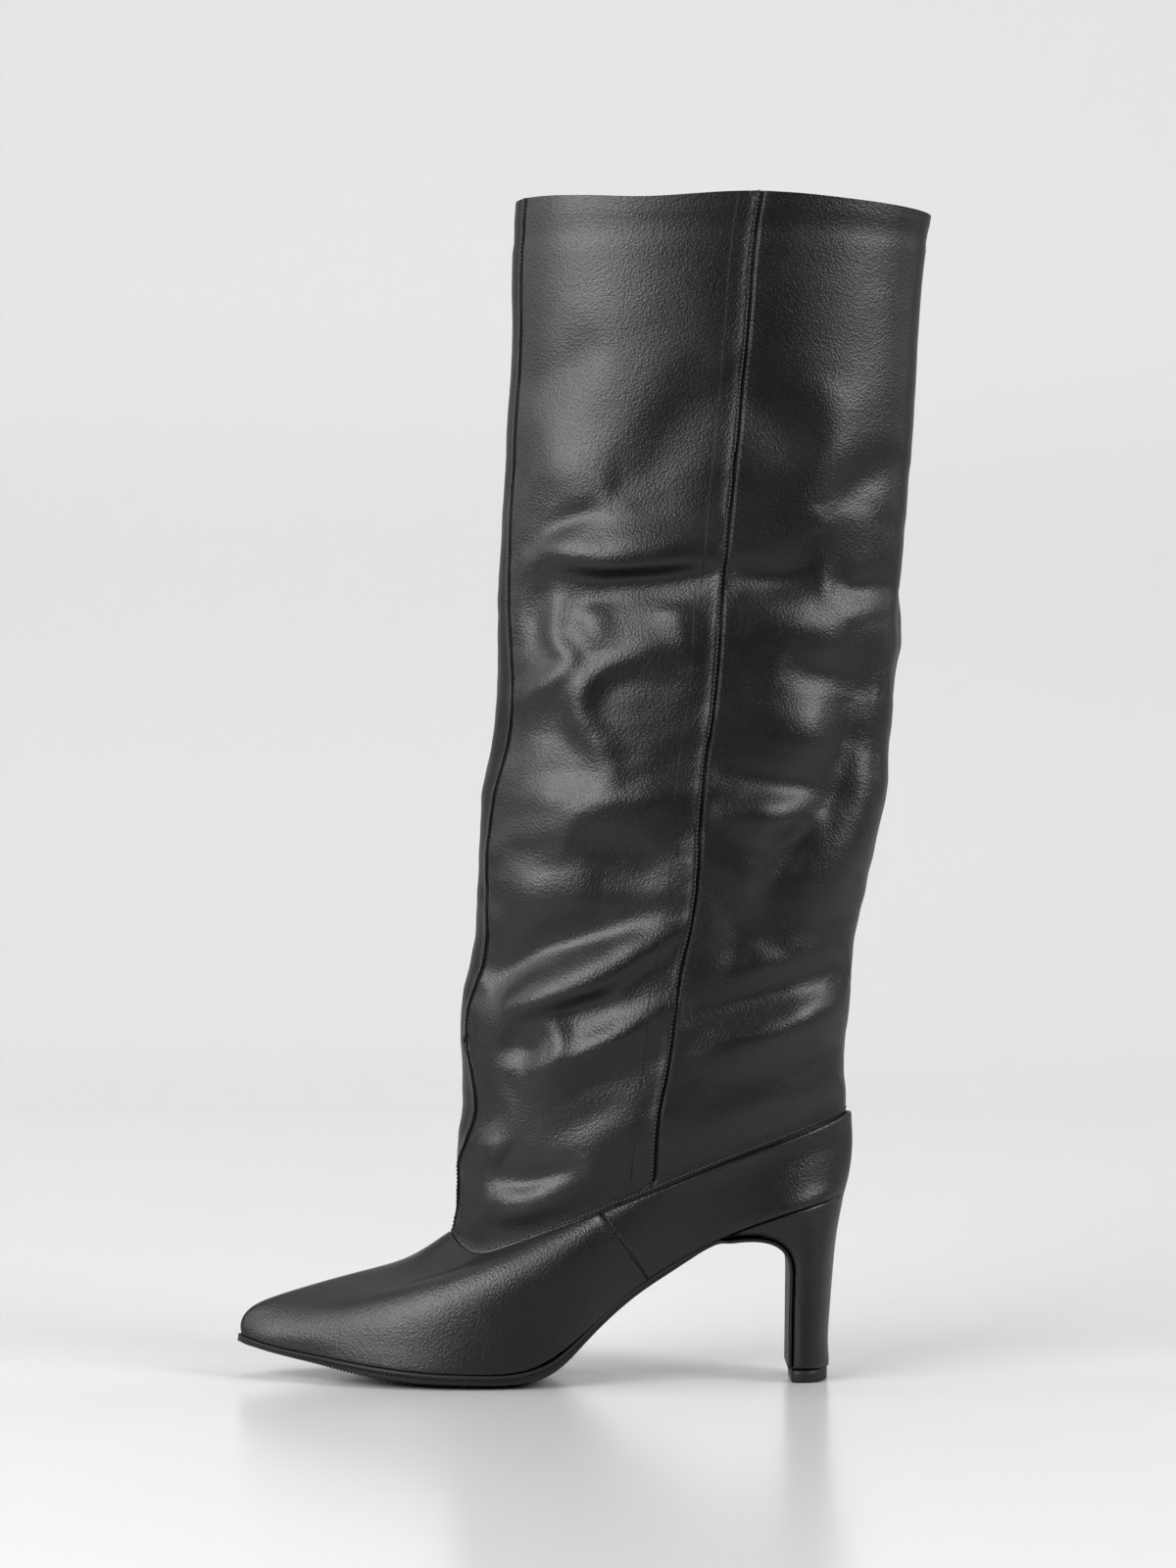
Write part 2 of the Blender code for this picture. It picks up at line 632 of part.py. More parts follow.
def heel_section(down):
    """A section of the heel: flat in front, and round behind as the heel seat is."""
    seat_front = FOOT_LENGTH * HEEL.at("front", 0.0)
    seat_back = HEEL_OVERHANG * HEEL.at("back", 0.0)
    front = FOOT_LENGTH * HEEL.at("front", down)
    back = HEEL_OVERHANG * HEEL.at("back", down)
    front_z = HEEL_HEIGHT * HEEL.at("front_up", down)
    back_z = HEEL_HEIGHT * HEEL.at("back_up", down)
    breadth = HEEL.at("breadth", down)
    sides = []
    for name, sign in (("outer", -1), ("inner", 1)):
        side = []
        for i in range(SEAT_POINTS + 1):
            share = math.sin(math.pi / 2 * i / SEAT_POINTS)
            half = seat_half(mix(seat_front, seat_back, share), name) * breadth
            if i == 0:
                half *= HEEL_CORNER
            if i == SEAT_POINTS:
                half = 0.0
            x, z = mix(front, back, share), mix(front_z, back_z, share)
            if down == 0.0:
                x, z = below_pitch(x, GAP)
            side.append(Vector((x, sign * half, z)))
        sides.append(side)
    return [*sides[0], *reversed(sides[1])]


def make_heel(material):
    """The covered heel block, with a tongue that runs forward under the shank."""
    return lofted_object("heel", material, [heel_section(down) for down in HEEL_STATIONS])


def make_top_piece(material):
    """The rubber lift under the heel: flush in front, set back at the rear and sides."""
    plan = heel_section(1.0)
    front = FOOT_LENGTH * HEEL.at("front", 1.0)
    length = HEEL_OVERHANG * HEEL.at("back", 1.0) - front
    width = 2 * max(abs(point.y) for point in plan)
    rings = []
    for height, inset in (
        (TOP_PIECE_THICKNESS, TOP_PIECE_INSET),
        (TOP_PIECE_ROUND, TOP_PIECE_INSET),
        (0.0, TOP_PIECE_INSET + TOP_PIECE_ROUND),
    ):
        rings.append([
            Vector((
                front + (point.x - front) * (1 - inset / length),
                point.y * (1 - 2 * inset / width),
                height,
            ))
            for point in plan
        ])
    return lofted_object("top_piece", material, rings)


for old in list(bpy.data.objects):
    bpy.data.objects.remove(old)
BOOT = bpy.data.collections.new("slouch_boot")
bpy.context.scene.collection.children.link(BOOT)

make_upper(make_material("upper_leather", LEATHER, 0.38))
make_shaft(make_material("shaft_leather", LEATHER, 0.38))
make_insole(make_material("sock_lining", SOCK, 0.70))
make_outsole(make_material("outsole_rubber", RUBBER, 0.62))
make_heel(make_material("heel_leather", LEATHER, 0.38))
make_top_piece(make_material("top_piece_rubber", RUBBER, 0.62))
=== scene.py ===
"""Finish of a tall black slouch boot: leather, seams, creases, sole, floor and light.

Laid out as an add-on and run as a script. Metres, +Z up, toe along -X, outer side to -Y.
The folds and the seam between vamp and counter are given, in millimetres from the
frame's origin. The shaft's seams are found on the frame.
"""

import math

import bmesh
import bpy
import numpy as np
from bpy.props import FloatProperty, FloatVectorProperty, IntProperty, PointerProperty
from mathutils import Matrix, Vector, noise
from mathutils.bvhtree import BVHTree


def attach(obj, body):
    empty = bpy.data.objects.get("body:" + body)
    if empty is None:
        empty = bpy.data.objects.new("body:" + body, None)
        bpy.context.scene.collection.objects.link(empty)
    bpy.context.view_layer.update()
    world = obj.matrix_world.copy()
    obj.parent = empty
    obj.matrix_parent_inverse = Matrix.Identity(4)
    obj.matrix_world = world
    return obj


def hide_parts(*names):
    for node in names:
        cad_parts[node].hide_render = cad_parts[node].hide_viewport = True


bl_info = {
    "name": "Slouch boot finish",
    "version": (1, 0, 0),
    "blender": (4, 5, 0),
    "location": "3D View > Sidebar > Boot",
    "description": "Dresses the frame of a tall slouch boot in leather, rubber and thread",
    "category": "Object",
}

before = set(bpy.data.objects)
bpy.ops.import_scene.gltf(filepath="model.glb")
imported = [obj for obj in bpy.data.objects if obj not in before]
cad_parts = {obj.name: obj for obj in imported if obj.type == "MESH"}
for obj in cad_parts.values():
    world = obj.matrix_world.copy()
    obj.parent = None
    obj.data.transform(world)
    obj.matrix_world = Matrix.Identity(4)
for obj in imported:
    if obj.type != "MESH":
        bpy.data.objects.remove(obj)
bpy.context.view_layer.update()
MM = 0.001

# Places on the frame, in metres
SEAM_COLUMN = (0.0006, 0.0028)  # breadth of the narrow columns of faces that mark a seam
SEAM_LOWEST = 0.05              # the seams are followed from this height up
FRONT_BEFORE = -0.085           # the front seam lies before this, the side seams behind it
SHARP_TURN = math.radians(72)   # least turn between the outer skin and a rim
SLACK_FROM = 0.075              # the shaft is slack from this height
SLACK_TO = 0.37                 # up to this one
ANKLE_BACK_X = 0.0187           # highest point of the foot's edge round the ankle
ANKLE_BACK_Z = 0.1085
ANKLE_SLOPE = 0.373             # how steeply that edge falls towards the throat

# Relief of the leather: across a seam in millimetres, all else in metres
GROOVE_BEHIND = 0.8             # stitched groove, behind the middle of a shaft seam
FRONT_SEAM_NARROWER = 1.8       # how much narrower the front seam's groove is than the sides'
VAMP_SEAM_NARROWER = 1.6        # the same for the seam between vamp and counter
NO_SEAM = 9.0                   # farther away than a seam's relief reaches
HEM_HEIGHT = 0.0150             # the turned hem ends this far under the collar
HEM_BREADTH = 0.0030
HEM_PULL = 0.0006               # how far the leather is drawn in there
CALM_PASSES = 36                # rounds of smoothing for the vamp's sides

# Sole and thread, in metres
TREAD_START = -0.206            # first tread rib, at the toe
TREAD_LENGTH = 0.092
RIB_LENGTH = 0.0065
SOLE_HALF_BREADTH = 0.046       # ribs are looked for from here inwards
THREAD_PROUD = 0.00008          # middle of a stitch above the leather
ANKLE_ROW_ABOVE = 0.0022        # stitches above the foot's edge

# Leather finish
LEATHER_GRAIN = 1100.0          # pebbles in a metre
GLOSS_SPREAD = 0.16             # how much grain and clouding change the roughness
GLOSS_MIDDLE = 0.22             # about what they add on average, taken off again

# Seam between vamp and counter, from the sole up: points (x, z), in millimetres
VAMP_SEAM = ((-60, 33), (-65.3, 43.7), (-73.2, 55.4), (-82.2, 68.0), (-86, 74))

# Folds of the shaft's outer side. Each runs through its points (x, z), in millimetres.
# lift is how far the leather stands out, or in; above and below are its half breadths.
OUTER_FOLDS = (
    # points                                                     lift  above  below
    (((-112, 340), (-88, 331), (-62, 331), (-33, 334)), 2.6, 13.0, 4.0),
    (((-114, 328), (-88, 323), (-62, 324), (-33, 327)), -2.4, 3.4, 8.0),
    (((-115, 336), (-100, 346), (-82, 352)), -1.5, 5.0, 5.0),
    (((-99, 324), (-103, 302), (-96, 291), (-106, 282), (-119, 272)), 1.9, 5.5, 5.0),
    (((-107, 322), (-110, 308), (-106, 294)), -1.2, 5.0, 5.0),
    (((-54, 294), (-72, 292), (-87, 285), (-92, 272), (-84, 257), (-77, 240)), 2.2, 6.5, 6.5),
    (((-88, 314), (-86, 304), (-85, 294)), 1.2, 6.0, 6.0),
    (((-56, 314), (-51, 304), (-49, 290)), 1.2, 6.0, 6.0),
    (((-118, 239), (-100, 235), (-66, 234), (-44, 231)), 1.7, 8.0, 12.0),
    (((-96, 222), (-72, 211), (-48, 214)), -2.2, 12.0, 12.0),
    (((-126, 206), (-112, 200), (-84, 199)), 1.6, 9.0, 9.0),
    (((-130, 160), (-112, 174), (-84, 183), (-48, 193)), -2.8, 8.0, 7.0),
    (((-124, 150), (-100, 158), (-76, 168), (-46, 190)), 3.0, 10.0, 4.5),
    (((-122, 145), (-98, 151), (-76, 158)), -1.7, 4.0, 5.0),
    (((-125, 141), (-118, 137), (-109, 133)), -2.4, 7.0, 7.0),
    (((-116, 150), (-103, 145), (-101, 134), (-112, 125)), 1.5, 4.5, 4.5),
    (((-120, 121), (-95, 133), (-74, 143), (-52, 158)), 2.5, 8.0, 5.0),
    (((-120, 110), (-92, 120), (-58, 142)), -2.2, 6.0, 8.0),
    (((-133, 101), (-128, 96), (-122, 92)), 2.0, 7.0, 7.0),
    (((-131, 84), (-112, 83), (-90, 91)), -2.2, 6.0, 6.0),
    (((-126, 68), (-104, 72), (-80, 82)), 1.4, 7.0, 5.0),
    (((-139, 82), (-137, 75), (-139, 68)), -1.2, 4.0, 4.0),
    (((10, 404), (8, 372), (5, 342)), 1.6, 12.0, 12.0),
    (((38, 378), (20, 362), (4, 348)), -1.8, 9.0, 9.0),
    (((-32, 410), (-14, 388), (2, 370)), -1.7, 12.0, 12.0),
    (((-76, 356), (-56, 380), (-34, 408)), -1.6, 13.0, 13.0),
    (((-114, 396), (-98, 408), (-84, 422)), -1.1, 9.0, 9.0),
    (((-114, 372), (-98, 366), (-78, 364)), 1.4, 12.0, 12.0),
    (((-34, 327), (-14, 323), (4, 325)), -2.8, 8.0, 8.0),
    (((8, 324), (22, 321), (37, 326)), -2.2, 7.0, 7.0),
    (((-30, 310), (-5, 306), (14, 296)), 1.9, 11.0, 11.0),
    (((-12, 291), (8, 284), (28, 280)), -2.5, 10.0, 10.0),
    (((-20, 264), (0, 262), (12, 256)), 1.8, 9.0, 9.0),
    (((-40, 247), (-16, 243), (8, 241)), -2.5, 7.0, 8.0),
    (((-40, 231), (-14, 228), (8, 228)), 2.1, 8.0, 8.0),
    (((19, 276), (15, 252), (10, 236), (-6, 217), (-16, 200), (-26, 178)), -3.2, 8.0, 8.0),
    (((27, 254), (21, 224), (6, 197), (-10, 176)), 2.3, 9.0, 9.0),
    (((-46, 208), (-34, 196), (-30, 178), (-35, 158)), -1.7, 6.0, 6.0),
    (((-54, 149), (-20, 157), (18, 168)), -3.0, 8.0, 8.0),
    (((-48, 133), (-18, 142), (14, 151)), 2.2, 8.0, 8.0),
    (((-40, 108), (-8, 116), (14, 124)), 1.3, 7.0, 7.0),
)

# The same for the inner side, which the photograph doesn't show
INNER_FOLDS = (
    (((-112, 342), (-84, 334), (-50, 338)), 2.4, 12.0, 5.0),
    (((-112, 332), (-84, 325), (-50, 330)), -2.6, 5.0, 8.0),
    (((-104, 318), (-98, 298), (-110, 278)), 1.8, 6.0, 6.0),
    (((-72, 304), (-90, 280), (-82, 248), (-86, 224)), 1.9, 7.0, 7.0),
    (((-120, 226), (-92, 216), (-54, 224)), -2.2, 9.0, 11.0),
    (((-130, 176), (-100, 186), (-54, 182)), -2.6, 7.0, 7.0),
    (((-128, 162), (-98, 170), (-54, 168)), 2.6, 8.0, 5.0),
    (((-124, 148), (-92, 153), (-52, 154)), -2.2, 5.0, 6.0),
    (((-122, 136), (-90, 142), (-52, 142)), 2.2, 6.0, 6.0),
    (((-126, 118), (-96, 120), (-56, 126)), -2.0, 6.0, 7.0),
    (((-132, 102), (-104, 104), (-66, 106)), 1.7, 6.0, 6.0),
    (((-124, 84), (-92, 88), (-60, 96)), -1.5, 6.0, 6.0),
    (((32, 352), (14, 328), (-24, 318)), -2.5, 9.0, 9.0),
    (((36, 320), (32, 298), (20, 280)), 2.0, 8.0, 8.0),
    (((22, 272), (8, 240), (-18, 208)), -2.8, 8.0, 8.0),
    (((-36, 220), (-8, 230), (14, 222)), 2.0, 8.0, 8.0),
    (((-54, 166), (-16, 160), (16, 170)), -2.6, 7.0, 8.0),
    (((-50, 142), (-16, 136), (14, 140)), 2.0, 8.0, 8.0),
)


class BootSizes(bpy.types.PropertyGroup):
    """Sizes of the finish."""

    shaft_wall: FloatProperty(
        name="Shaft wall", description="Leather and lining of the shaft", default=0.0016,
        min=0.0008, unit="LENGTH")
    foot_wall: FloatProperty(
        name="Foot wall", description="Leather and lining of the foot", default=0.0011,
        min=0.0008, unit="LENGTH")
    groove: FloatProperty(
        name="Seam groove", description="Depth of the stitched seams", default=0.0013,
        min=0.0, unit="LENGTH")
    slack: FloatProperty(
        name="Slack", description="How deep the folds are, 1 as they are listed", default=1.2,
        min=0.0, max=1.6)
    stitch_pitch: FloatProperty(
        name="Stitch pitch", description="From one stitch to the next", default=0.0017,
        min=0.001, unit="LENGTH")
    thread: FloatProperty(
        name="Thread", description="Half the breadth of the thread", default=0.00034,
        min=0.0001, unit="LENGTH")
    tread_pitch: FloatProperty(
        name="Tread pitch", description="From one tread rib to the next", default=0.00145,
        min=0.0008, unit="LENGTH")
    tread_depth: FloatProperty(
        name="Tread depth", description="Height of the tread ribs", default=0.0007,
        min=0.0002, unit="LENGTH")
    smoothing: IntProperty(
        name="Smoothing", description="Subdivision levels of the leather", default=2,
        min=1, max=2)


class BootColours(bpy.types.PropertyGroup):
    """Colours of the finish."""

    leather: FloatVectorProperty(
        name="Leather", description="Black leather", default=(0.0050, 0.0048, 0.0050),
        size=3, subtype="COLOR", min=0.0, max=1.0)
    lining: FloatVectorProperty(
        name="Lining", description="Inside of the boot", default=(0.030, 0.026, 0.023),
        size=3, subtype="COLOR", min=0.0, max=1.0)
    rubber: FloatVectorProperty(
        name="Rubber", description="Sole and top piece", default=(0.010, 0.010, 0.010),
        size=3, subtype="COLOR", min=0.0, max=1.0)
    thread: FloatVectorProperty(
        name="Thread", description="Stitches", default=(0.045, 0.045, 0.047),
        size=3, subtype="COLOR", min=0.0, max=1.0)
    studio: FloatVectorProperty(
        name="Studio", description="Floor and backdrop", default=(0.72, 0.72, 0.72),
        size=3, subtype="COLOR", min=0.0, max=1.0)


def sizes():
    """The sizes that the panel shows."""
    return bpy.context.scene.boot_sizes


def colours():
    """The colours that the panel shows."""
    return bpy.context.scene.boot_colours


def ankle_edge(x):
    """Height of the foot's edge round the ankle, which falls from the back to the throat."""
    return ANKLE_BACK_Z - ANKLE_SLOPE * (ANKLE_BACK_X - x)


def rise(values, start, run):
    """From nothing where a value is at start to one where it is a run farther on."""
    return np.clip((values - start) / run, 0, 1)


def bell(values, breadth):
    """One in the middle of a soft ridge or groove, and almost nothing two breadths away."""
    return np.exp(-((values / breadth) ** 2))


def only(piece):
    """Selects one piece alone."""
    bpy.ops.object.select_all(action="DESELECT")
    piece.select_set(True)
    bpy.context.view_layer.objects.active = piece


def node_copy(node, name):
    """A copy of a frame node with its points merged and its triangles paired."""
    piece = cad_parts[node].copy()
    piece.data = piece.data.copy()
    piece.name = name
    piece.parent = None
    piece.data.materials.clear()
    bpy.context.scene.collection.objects.link(piece)
    only(piece)
    bpy.ops.object.mode_set(mode="EDIT")
    bpy.ops.mesh.select_all(action="SELECT")
    bpy.ops.mesh.remove_doubles(threshold=0.00002)
    bpy.ops.mesh.tris_convert_to_quads(
        face_threshold=math.radians(70), shape_threshold=math.radians(70))
    bpy.ops.object.mode_set(mode="OBJECT")
    return piece


def keep_outer_skin(piece):
    """Deletes the inner skin and the rims: faces past a sharp turn from the widest face."""
    bm = bmesh.new()
    bm.from_mesh(piece.data)
    start = max(bm.faces, key=lambda face: abs(face.calc_center_median().y))
    kept, waiting = {start}, [start]
    while waiting:
        for edge in waiting.pop().edges:
            if len(edge.link_faces) != 2 or edge.calc_face_angle(math.pi) > SHARP_TURN:
                continue
            for other in edge.link_faces:
                if other not in kept:
                    kept.add(other)
                    waiting.append(other)
    bmesh.ops.delete(bm, geom=[face for face in bm.faces if face not in kept], context="FACES")
    bm.to_mesh(piece.data)
    bm.free()


def seam_points(piece, shortest, longest):
    """Points in the middle of the narrow columns of faces that mark a seam, in metres."""
    mesh = piece.data
    near = {}
    for edge in mesh.edges:
        a, b = (mesh.vertices[i].co for i in edge.vertices)
        if shortest < (a - b).length < longest and abs(a.z - b.z) < longest / 2:
            for index in edge.vertices:
                near[index] = near.get(index, 0) + 1
    return np.array([mesh.vertices[i].co[:] for i, count in near.items() if count == 2])


def smooth_line(points, steps):
    """A smooth line through points, as an array of finely spaced ones."""
    points = np.asarray(points, float)
    padded = np.vstack([2 * points[0] - points[1], points, 2 * points[-1] - points[-2]])
    found = []
    for i in range(1, len(padded) - 2):
        p0, p1, p2, p3 = padded[i - 1:i + 3]
        for t in np.linspace(0, 1, steps, endpoint=False):
            found.append(0.5 * (
                2 * p1 + (p2 - p0) * t + (2 * p0 - 5 * p1 + 4 * p2 - p3) * t ** 2
                + (3 * p1 - p0 - 3 * p2 + p3) * t ** 3))
    return np.array([*found, points[-1]])


def even_points(line, pitch):
    """Points at an even pitch along a line."""
    line = np.asarray(line, float)
    run = np.concatenate([[0], np.cumsum(np.linalg.norm(np.diff(line, axis=0), axis=1))])
    marks = np.arange(pitch / 2, run[-1], pitch)
    return np.stack([np.interp(marks, run, line[:, axis]) for axis in range(3)], axis=1)


def read_points(mesh):
    """A mesh's points and their normals."""
    points = np.empty(len(mesh.vertices) * 3)
    normals = np.empty(len(mesh.vertices) * 3)
    mesh.vertices.foreach_get("co", points)
    mesh.vertices.foreach_get("normal", normals)
    return points.reshape(-1, 3), normals.reshape(-1, 3)


def write_points(mesh, points):
    """Moves a mesh's points to new places."""
    mesh.vertices.foreach_set("co", points.ravel())
    mesh.update()


def nearest_on_line(points, line):
    """Distance from each point to a line, and the index of the line's nearest point."""
    away = np.full(len(points), np.inf)
    index = np.zeros(len(points), int)
    for i, mark in enumerate(line):
        distance = np.linalg.norm(points - mark, axis=1)
        closer = distance < away
        away[closer] = distance[closer]
        index[closer] = i
    return away, index


def fold_field(points, folds):
    """Height of the folds, in metres, at points on one side of the shaft."""
    flat = points[:, [0, 2]] / MM
    height = np.zeros(len(flat))
    for marks, lift, above, below in folds:
        line = smooth_line(marks, 20)
        reach = 3 * max(above, below)
        near = np.all((flat > line.min(axis=0) - reach) & (flat < line.max(axis=0) + reach), axis=1)
        away, index = nearest_on_line(flat[near], line)
        run = np.gradient(line, axis=0)[index]
        run /= np.linalg.norm(run, axis=1)[:, None] * np.where(run[:, :1] < 0, -1, 1)
        offset = flat[near] - line[index]
        over = (run[:, 0] * offset[:, 1] - run[:, 1] * offset[:, 0]) / np.maximum(away, 0.01)
        breadth = below + (above - below) * (1 + over) / 2
        ends = np.sin(np.pi * index / (len(line) - 1)) ** 0.7
        height[near] += lift * ends * bell(away, breadth)
    return height * MM


def soft_noise(points, scale, seed):
    """Gentle unevenness between -1 and 1, the same on each run."""
    shift = Vector((seed, 2.0 * seed, 0.5 * seed))
    return np.array([noise.noise(Vector(p) / scale + shift) for p in points])


def store(mesh, name, values):
    """Keeps a number for each point of a mesh, for its material to read."""
    layer = mesh.attributes.new(name, "FLOAT", "POINT")
    layer.data.foreach_set("value", np.asarray(values, np.float32))


def apply_modifier(piece, kind, **settings):
    """Adds a modifier with its settings and applies it."""
    only(piece)
    modifier = piece.modifiers.new("Shape", kind)
    for key, value in settings.items():
        setattr(modifier, key, value)
    bpy.ops.object.modifier_apply(modifier=modifier.name)


def finish_piece(piece, node, materials, replaced=True):
    """Gives a piece its materials and its place among the frame's bodies."""
    piece.data.materials.clear()
    for material in materials:
        piece.data.materials.append(material)
    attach(piece, "root")
    if replaced:
        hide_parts(node)


def smooth_shading(piece, degrees):
    """Shades a piece smooth, but for the edges that turn by more than so many degrees."""
    only(piece)
    bpy.ops.object.shade_smooth_by_angle(angle=math.radians(degrees))


def group_with(name, inputs, outputs):
    """An empty shader group with named inputs (with defaults) and outputs."""
    group = bpy.data.node_groups.new(name, "ShaderNodeTree")
    for label, kind, default in inputs:
        socket = group.interface.new_socket(label, in_out="INPUT", socket_type=kind)
        if default is not None:
            socket.default_value = default
    for label, kind in outputs:
        group.interface.new_socket(label, in_out="OUTPUT", socket_type=kind)
    return group, group.nodes.new("NodeGroupInput"), group.nodes.new("NodeGroupOutput")


def math_node(tree, operation, *values):
    """A Math node's result. Each value is a number or another node's output."""
    node = tree.nodes.new("ShaderNodeMath")
    node.operation = operation
    for slot, value in enumerate(values):
        if isinstance(value, (int, float)):
            node.inputs[slot].default_value = value
        else:
            tree.links.new(value, node.inputs[slot])
    return node.outputs[0]


def noise_node(tree, vector, scale, detail):
    """A soft noise between 0 and 1."""
    node = tree.nodes.new("ShaderNodeTexNoise")
    node.inputs["Scale"].default_value = scale
    node.inputs["Detail"].default_value = detail
    tree.links.new(vector, node.inputs["Vector"])
    return node.outputs["Fac"]


def grain_group():
    """Leather grain: fine pebbles, pores and soft clouding, from Object coordinates."""
    group, start, end = group_with(
        "Leather grain",
        (("Vector", "NodeSocketVector", None), ("Scale", "NodeSocketFloat", LEATHER_GRAIN)),
        (("Height", "NodeSocketFloat"), ("Clouding", "NodeSocketFloat")),
    )
    place = start.outputs["Vector"]
    warp = group.nodes.new("ShaderNodeTexNoise")
    warp.inputs["Scale"].default_value = 260.0
    group.links.new(place, warp.inputs["Vector"])
    warped = group.nodes.new("ShaderNodeVectorMath")
    warped.operation = "MULTIPLY_ADD"
    warped.inputs[1].default_value = (0.0011, 0.0011, 0.0011)
    group.links.new(warp.outputs["Color"], warped.inputs[0])
    group.links.new(place, warped.inputs[2])
    pebbles = group.nodes.new("ShaderNodeTexVoronoi")
    pebbles.feature = "SMOOTH_F1"
    pebbles.inputs["Smoothness"].default_value = 0.6
    group.links.new(warped.outputs[0], pebbles.inputs["Vector"])
    group.links.new(start.outputs["Scale"], pebbles.inputs["Scale"])
    height = math_node(group, "MULTIPLY", pebbles.outputs["Distance"], 0.75)
    height = math_node(group, "MULTIPLY_ADD", noise_node(group, place, 2600.0, 3.0), 0.35, height)
    height = math_node(group, "MULTIPLY_ADD", noise_node(group, place, 95.0, 3.0), 0.5, height)
    group.links.new(height, end.inputs["Height"])
    group.links.new(noise_node(group, place, 28.0, 4.0), end.inputs["Clouding"])


def seam_group():
    """Relief of a sewn seam: a groove with a thin ridge behind it, and the groove's mask for its
    painted shade.
    """
    group, start, end = group_with(
        "Sewn seam",
        (("Across", "NodeSocketFloat", NO_SEAM), ("Breadth", "NodeSocketFloat", 0.6)),
        (("Height", "NodeSocketFloat"), ("Groove", "NodeSocketFloat")),
    )

    def band(middle, breadth):
        offset = math_node(group, "SUBTRACT", start.outputs["Across"], middle)
        share = math_node(group, "DIVIDE", offset, breadth)
        square = math_node(group, "MULTIPLY", share, share)
        return math_node(group, "EXPONENT", math_node(group, "MULTIPLY", square, -1.0))

    groove = band(0.0, start.outputs["Breadth"])
    ridge = math_node(group, "MULTIPLY", band(1.5, 0.5), 0.45)
    group.links.new(math_node(group, "SUBTRACT", ridge, groove), end.inputs["Height"])
    group.links.new(groove, end.inputs["Groove"])


def new_material(name):
    """An empty material, its node tree and its shader."""
    material = bpy.data.materials.new(name)
    material.use_nodes = True
    tree = material.node_tree
    return material, tree, tree.nodes["Principled BSDF"]


def ramp(tree, value, first, last):
    """A colour that runs from the first stop to the last; a stop is a place and a colour."""
    node = tree.nodes.new("ShaderNodeValToRGB")
    tree.links.new(value, node.inputs["Fac"])
    for element, stop in zip(node.color_ramp.elements, (first, last)):
        element.position, element.color = stop
    return node.outputs["Color"]


def tint(colour, factor):
    """A colour made darker or lighter, with full opacity."""
    return (*[min(c * factor, 1.0) for c in colour], 1.0)


def object_place(tree):
    """The place on a piece, in metres in the boot's frame."""
    return tree.nodes.new("ShaderNodeTexCoord").outputs["Object"]


def parts_of(tree, vector):
    """A vector's X, Y and Z, by name."""
    node = tree.nodes.new("ShaderNodeSeparateXYZ")
    tree.links.new(vector, node.inputs[0])
    return node.outputs


def grained(tree, scale):
    """The leather grain's outputs, for one material."""
    grain = tree.nodes.new("ShaderNodeGroup")
    grain.node_tree = bpy.data.node_groups["Leather grain"]
    grain.inputs["Scale"].default_value = scale
    tree.links.new(object_place(tree), grain.inputs["Vector"])
    return grain.outputs


def bump(tree, height, distance, strength, under=None):
    """A normal raised by a height; under is the relief that it lies on."""
    node = tree.nodes.new("ShaderNodeBump")
    node.inputs["Distance"].default_value = distance
    node.inputs["Strength"].default_value = strength
    tree.links.new(height, node.inputs["Height"])
    if under is not None:
        tree.links.new(under, node.inputs["Normal"])
    return node.outputs["Normal"]


def leather_material(name, roughness, seams):
    """Smooth black leather with a fine grain, a soft wax gloss and, where sewn, its seams, with
    painted shade in their grooves.
    """
    material, tree, shader = new_material(name)
    colour = colours().leather
    grain = grained(tree, LEATHER_GRAIN)
    tone = ramp(tree, grain["Clouding"], (0.3, tint(colour, 0.80)), (0.7, tint(colour, 1.22)))
    rough = math_node(
        tree, "MULTIPLY_ADD", grain["Clouding"], GLOSS_SPREAD, roughness - GLOSS_MIDDLE)
    rough = math_node(tree, "MULTIPLY_ADD", grain["Height"], GLOSS_SPREAD, rough)
    normal = bump(tree, grain["Height"], 0.00020, 0.9)
    if seams:
        across = tree.nodes.new("ShaderNodeAttribute")
        across.attribute_name = "seam_across"
        seam = tree.nodes.new("ShaderNodeGroup")
        seam.node_tree = bpy.data.node_groups["Sewn seam"]
        seam.inputs["Breadth"].default_value = 0.62
        tree.links.new(across.outputs["Fac"], seam.inputs["Across"])
        normal = bump(tree, seam.outputs["Height"], 0.0009, 1.0, normal)
        # painted shade: the seam's groove is coloured almost black, standing in for the shadow that
        # falls in it
        painted_groove_shade = tree.nodes.new("ShaderNodeMix")
        painted_groove_shade.data_type = "RGBA"
        painted_groove_shade.inputs["B"].default_value = tint(colour, 0.12)
        tree.links.new(seam.outputs["Groove"], painted_groove_shade.inputs["Factor"])
        tree.links.new(tone, painted_groove_shade.inputs["A"])
        tone = painted_groove_shade.outputs["Result"]
    tree.links.new(tone, shader.inputs["Base Color"])
    tree.links.new(rough, shader.inputs["Roughness"])
    tree.links.new(normal, shader.inputs["Normal"])
    shader.inputs["Specular IOR Level"].default_value = 0.55
    shader.inputs["Coat Weight"].default_value = 0.15
    shader.inputs["Coat Roughness"].default_value = 0.40
    return material


def lining_material():
    """Brushed pigskin lining, dull and close-grained, made once for all that is lined."""
    if "lining" in bpy.data.materials:
        return bpy.data.materials["lining"]
    material, tree, shader = new_material("lining")
    colour = colours().lining
    grain = grained(tree, 1700.0)
    tone = ramp(tree, grain["Clouding"], (0.3, tint(colour, 0.8)), (0.7, tint(colour, 1.25)))
    tree.links.new(tone, shader.inputs["Base Color"])
    tree.links.new(bump(tree, grain["Height"], 0.0002, 0.6), shader.inputs["Normal"])
    shader.inputs["Roughness"].default_value = 0.78
    shader.inputs["Sheen Weight"].default_value = 0.15
    return material


